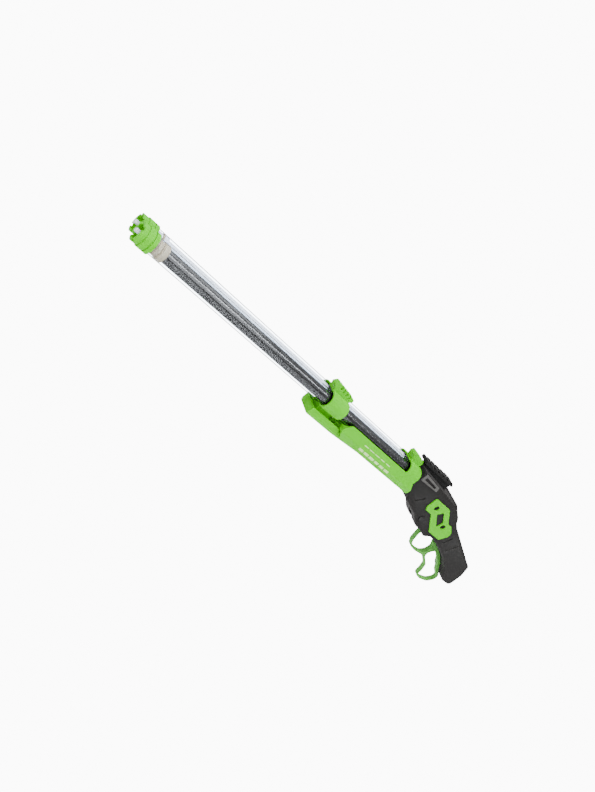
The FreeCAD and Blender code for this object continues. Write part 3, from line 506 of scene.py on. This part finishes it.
# %% The screw tree
FACING = "facing"
HEAD_SIDES = 28
SHANK_SIDES = 12
DOME_TOP = 0.72         # the head's flat top, as a share of its radius
RECESS_LENGTH = 1.05    # the cross recess, as shares of the same radius
RECESS_WIDTH = 0.26
SCREW_SHARP_FROM = math.radians(30)


def tree_input(group, label, kind, default):
    """Adds a named input to a tree and returns the identifier that a modifier needs."""
    socket = group.interface.new_socket(label, in_out="INPUT", socket_type=kind)
    if default is not None:
        socket.default_value = default
    return socket.identifier


def screw_tree():
    """Instances a cross-recessed screw on each point, facing the point's own direction."""
    group = bpy.data.node_groups.new("cross_screws", "GeometryNodeTree")
    tree_input(group, "Geometry", "NodeSocketGeometry", None)
    sockets = {}
    for label, default in (("Head Radius", 3 * MM), ("Head Height", 1.5 * MM), ("Shank Radius", 1.5 * MM),
                           ("Shank Length", 20 * MM), ("Recess Depth", 0.9 * MM)):
        sockets[label] = tree_input(group, label, "NodeSocketFloat", default)
    sockets["Finish"] = tree_input(group, "Finish", "NodeSocketMaterial", None)
    group.interface.new_socket("Geometry", in_out="OUTPUT", socket_type="NodeSocketGeometry")
    new = group.nodes.new
    wire = group.links.new
    given = new("NodeGroupInput")

    def share(length, part):
        return math_node(group, "MULTIPLY", length, part)

    def raised(geometry, height):
        """Move a solid along the screw's own axis."""
        shift = new("ShaderNodeCombineXYZ")
        wire(height, shift.inputs["Z"])
        node = new("GeometryNodeTransform")
        wire(geometry, node.inputs["Geometry"])
        wire(shift.outputs[0], node.inputs["Translation"])
        return node.outputs["Geometry"]

    def bar(across, along, depth):
        size = new("ShaderNodeCombineXYZ")
        for axis, source in zip("XYZ", (across, along, depth)):
            wire(source, size.inputs[axis])
        node = new("GeometryNodeMeshCube")
        wire(size.outputs[0], node.inputs["Size"])
        return node.outputs["Mesh"]

    head_radius = given.outputs["Head Radius"]
    head_height = given.outputs["Head Height"]
    shank_length = given.outputs["Shank Length"]
    dome = new("GeometryNodeMeshCone")
    dome.inputs["Vertices"].default_value = HEAD_SIDES
    wire(share(head_radius, DOME_TOP), dome.inputs["Radius Top"])
    wire(head_radius, dome.inputs["Radius Bottom"])
    wire(head_height, dome.inputs["Depth"])
    long_side = share(head_radius, RECESS_LENGTH)
    short_side = share(head_radius, RECESS_WIDTH)
    depth = share(given.outputs["Recess Depth"], 2.0)
    cross = new("GeometryNodeMeshBoolean")
    cross.operation = "DIFFERENCE"
    wire(dome.outputs["Mesh"], cross.inputs["Mesh 1"])
    wire(raised(bar(long_side, short_side, depth), head_height), cross.inputs["Mesh 2"])
    wire(raised(bar(short_side, long_side, depth), head_height), cross.inputs["Mesh 2"])
    rod = new("GeometryNodeMeshCylinder")
    rod.inputs["Vertices"].default_value = SHANK_SIDES
    wire(given.outputs["Shank Radius"], rod.inputs["Radius"])
    wire(shank_length, rod.inputs["Depth"])
    shank = raised(rod.outputs["Mesh"], share(shank_length, -0.5))
    whole = new("GeometryNodeJoinGeometry")
    wire(cross.outputs["Mesh"], whole.inputs[0])
    wire(shank, whole.inputs[0])
    facing = new("GeometryNodeInputNamedAttribute")
    facing.data_type = "FLOAT_VECTOR"
    facing.inputs["Name"].default_value = FACING
    turn = new("FunctionNodeAlignRotationToVector")
    turn.axis = "Z"
    wire(facing.outputs["Attribute"], turn.inputs["Vector"])
    place = new("GeometryNodeInstanceOnPoints")
    wire(given.outputs["Geometry"], place.inputs["Points"])
    wire(whole.outputs[0], place.inputs["Instance"])
    wire(turn.outputs["Rotation"], place.inputs["Rotation"])
    real = new("GeometryNodeRealizeInstances")
    wire(place.outputs["Instances"], real.inputs[0])
    coloured = new("GeometryNodeSetMaterial")
    wire(real.outputs[0], coloured.inputs["Geometry"])
    wire(given.outputs["Finish"], coloured.inputs["Material"])
    result = new("NodeGroupOutput")
    wire(coloured.outputs[0], result.inputs[0])
    return group, sockets


SCREW_TREE, SCREW_SOCKETS = screw_tree()


def islands(node):
    """The box of each separate solid in a node that holds several."""
    shape = bmesh.new()
    shape.from_mesh(nodes[node].data)
    bmesh.ops.remove_doubles(shape, verts=shape.verts, dist=MERGE)
    left = set(shape.verts)
    boxes = []
    while left:
        found = set()
        waiting = [left.pop()]
        while waiting:
            vertex = waiting.pop()
            found.add(vertex)
            for line in vertex.link_edges:
                other = line.other_vert(vertex)
                if other in left:
                    left.discard(other)
                    waiting.append(other)
        corners = [vertex.co for vertex in found]
        low = Vector([min(c[i] for c in corners) for i in range(3)])
        high = Vector([max(c[i] for c in corners) for i in range(3)])
        boxes.append((low, high))
    shape.free()
    return sorted(boxes, key=lambda pair: tuple(pair[0]))


HEAD_HEIGHT = 1.3 * MM


def screw_set(node, body, facing_of):
    """Replaces a node of plain, equally long screws by detailed ones in the same places."""
    spots = []
    directions = []
    for low, high in islands(node):
        direction = facing_of(low, high)
        middle = (low + high) / 2
        axis = max(range(3), key=lambda i: abs(direction[i]))
        top = high[axis] if direction[axis] > 0 else low[axis]
        middle[axis] = top - direction[axis] * HEAD_HEIGHT
        spots.append(middle)
        directions.append(direction)
        length = high[axis] - low[axis] - HEAD_HEIGHT
    mesh = bpy.data.meshes.new(node + "_points")
    mesh.from_pydata(spots, [], [])
    stored = mesh.attributes.new(FACING, "FLOAT_VECTOR", "POINT")
    for item, direction in zip(stored.data, directions):
        item.vector = direction
    piece = link(node + "_detailed", mesh)
    modifier = piece.modifiers.new("screws", "NODES")
    modifier.node_group = SCREW_TREE
    modifier[SCREW_SOCKETS["Head Height"]] = HEAD_HEIGHT
    modifier[SCREW_SOCKETS["Shank Length"]] = length
    modifier[SCREW_SOCKETS["Finish"]] = STEEL
    settle(piece)
    smooth(piece.data, SCREW_SHARP_FROM)
    print(node, "has", len(spots), "screws")
    seat(piece, body, "screw_steel", node)


def rightwards(low, high):
    return Vector((0, 1, 0))


def upwards(low, high):
    return Vector((0, 0, 1))


def outwards(low, high):
    return Vector((0, -1 if low.y + high.y < 0 else 1, 0))


screw_set("receiver_screws", "receiver", rightwards)
screw_set("forend_screws", "barrel_group", rightwards)
screw_set("rail_screws", "receiver", upwards)
screw_set("plate_screws", "receiver", outwards)

# %% [markdown]
# ## Plain marks on the fore-end
# The fore-end's flat side carries two rows of pale marks.  Each row is one Geometry Nodes
# line of flat bars, and each bar's length is drawn at random between two shares.

# %% Rows of marks
SHORTEST_SHARE = 0.72
MARK_SEED = 0


def mark_tree():
    """Instances thin bars of uneven length along a straight row."""
    group = bpy.data.node_groups.new("mark_row", "GeometryNodeTree")
    tree_input(group, "Geometry", "NodeSocketGeometry", None)
    sockets = {"Count": tree_input(group, "Count", "NodeSocketInt", 5)}
    for label in ("Start", "Step", "Bar"):
        sockets[label] = tree_input(group, label, "NodeSocketVector", None)
    sockets["Finish"] = tree_input(group, "Finish", "NodeSocketMaterial", None)
    group.interface.new_socket("Geometry", in_out="OUTPUT", socket_type="NodeSocketGeometry")
    new = group.nodes.new
    wire = group.links.new
    given = new("NodeGroupInput")
    row = new("GeometryNodeMeshLine")
    row.mode = "OFFSET"
    wire(given.outputs["Count"], row.inputs["Count"])
    wire(given.outputs["Start"], row.inputs["Start Location"])
    wire(given.outputs["Step"], row.inputs["Offset"])
    bar = new("GeometryNodeMeshCube")
    wire(given.outputs["Bar"], bar.inputs["Size"])
    uneven = new("FunctionNodeRandomValue")
    uneven.data_type = "FLOAT_VECTOR"
    uneven.inputs["Min"].default_value = (SHORTEST_SHARE, 1.0, 1.0)
    uneven.inputs["Max"].default_value = (1.0, 1.0, 1.0)
    uneven.inputs["Seed"].default_value = MARK_SEED
    place = new("GeometryNodeInstanceOnPoints")
    wire(row.outputs["Mesh"], place.inputs["Points"])
    wire(bar.outputs["Mesh"], place.inputs["Instance"])
    wire(uneven.outputs["Value"], place.inputs["Scale"])
    real = new("GeometryNodeRealizeInstances")
    wire(place.outputs["Instances"], real.inputs[0])
    coloured = new("GeometryNodeSetMaterial")
    wire(real.outputs[0], coloured.inputs["Geometry"])
    wire(given.outputs["Finish"], coloured.inputs["Material"])
    result = new("NodeGroupOutput")
    wire(coloured.outputs[0], result.inputs[0])
    return group, sockets


MARK_TREE, MARK_SOCKETS = mark_tree()
SIDE_Y = min(corner[1] for corner in nodes["forend_left"].bound_box)
MARK_THICKNESS = 0.3 * MM
MARK_ROWS = [
    # name, bars, start x, z, pitch, bar length, bar height, all in millimetres
    ("upper_marks", 5, -321, 38, 15, 12, 1.6),
    ("lower_marks", 6, -323, 28, 14, 12, 4.2),
]
for name, bars, start, level, pitch, long, tall in MARK_ROWS:
    piece = link(name, bpy.data.meshes.new(name))
    modifier = piece.modifiers.new("marks", "NODES")
    modifier.node_group = MARK_TREE
    modifier[MARK_SOCKETS["Count"]] = bars
    modifier[MARK_SOCKETS["Start"]] = (start * MM, SIDE_Y, level * MM)
    modifier[MARK_SOCKETS["Step"]] = (pitch * MM, 0.0, 0.0)
    modifier[MARK_SOCKETS["Bar"]] = (long * MM, MARK_THICKNESS, tall * MM)
    modifier[MARK_SOCKETS["Finish"]] = PRINT
    settle(piece)
    seat(piece, "barrel_group", "green_plastic")
    print(name, "has", bars, "bars")
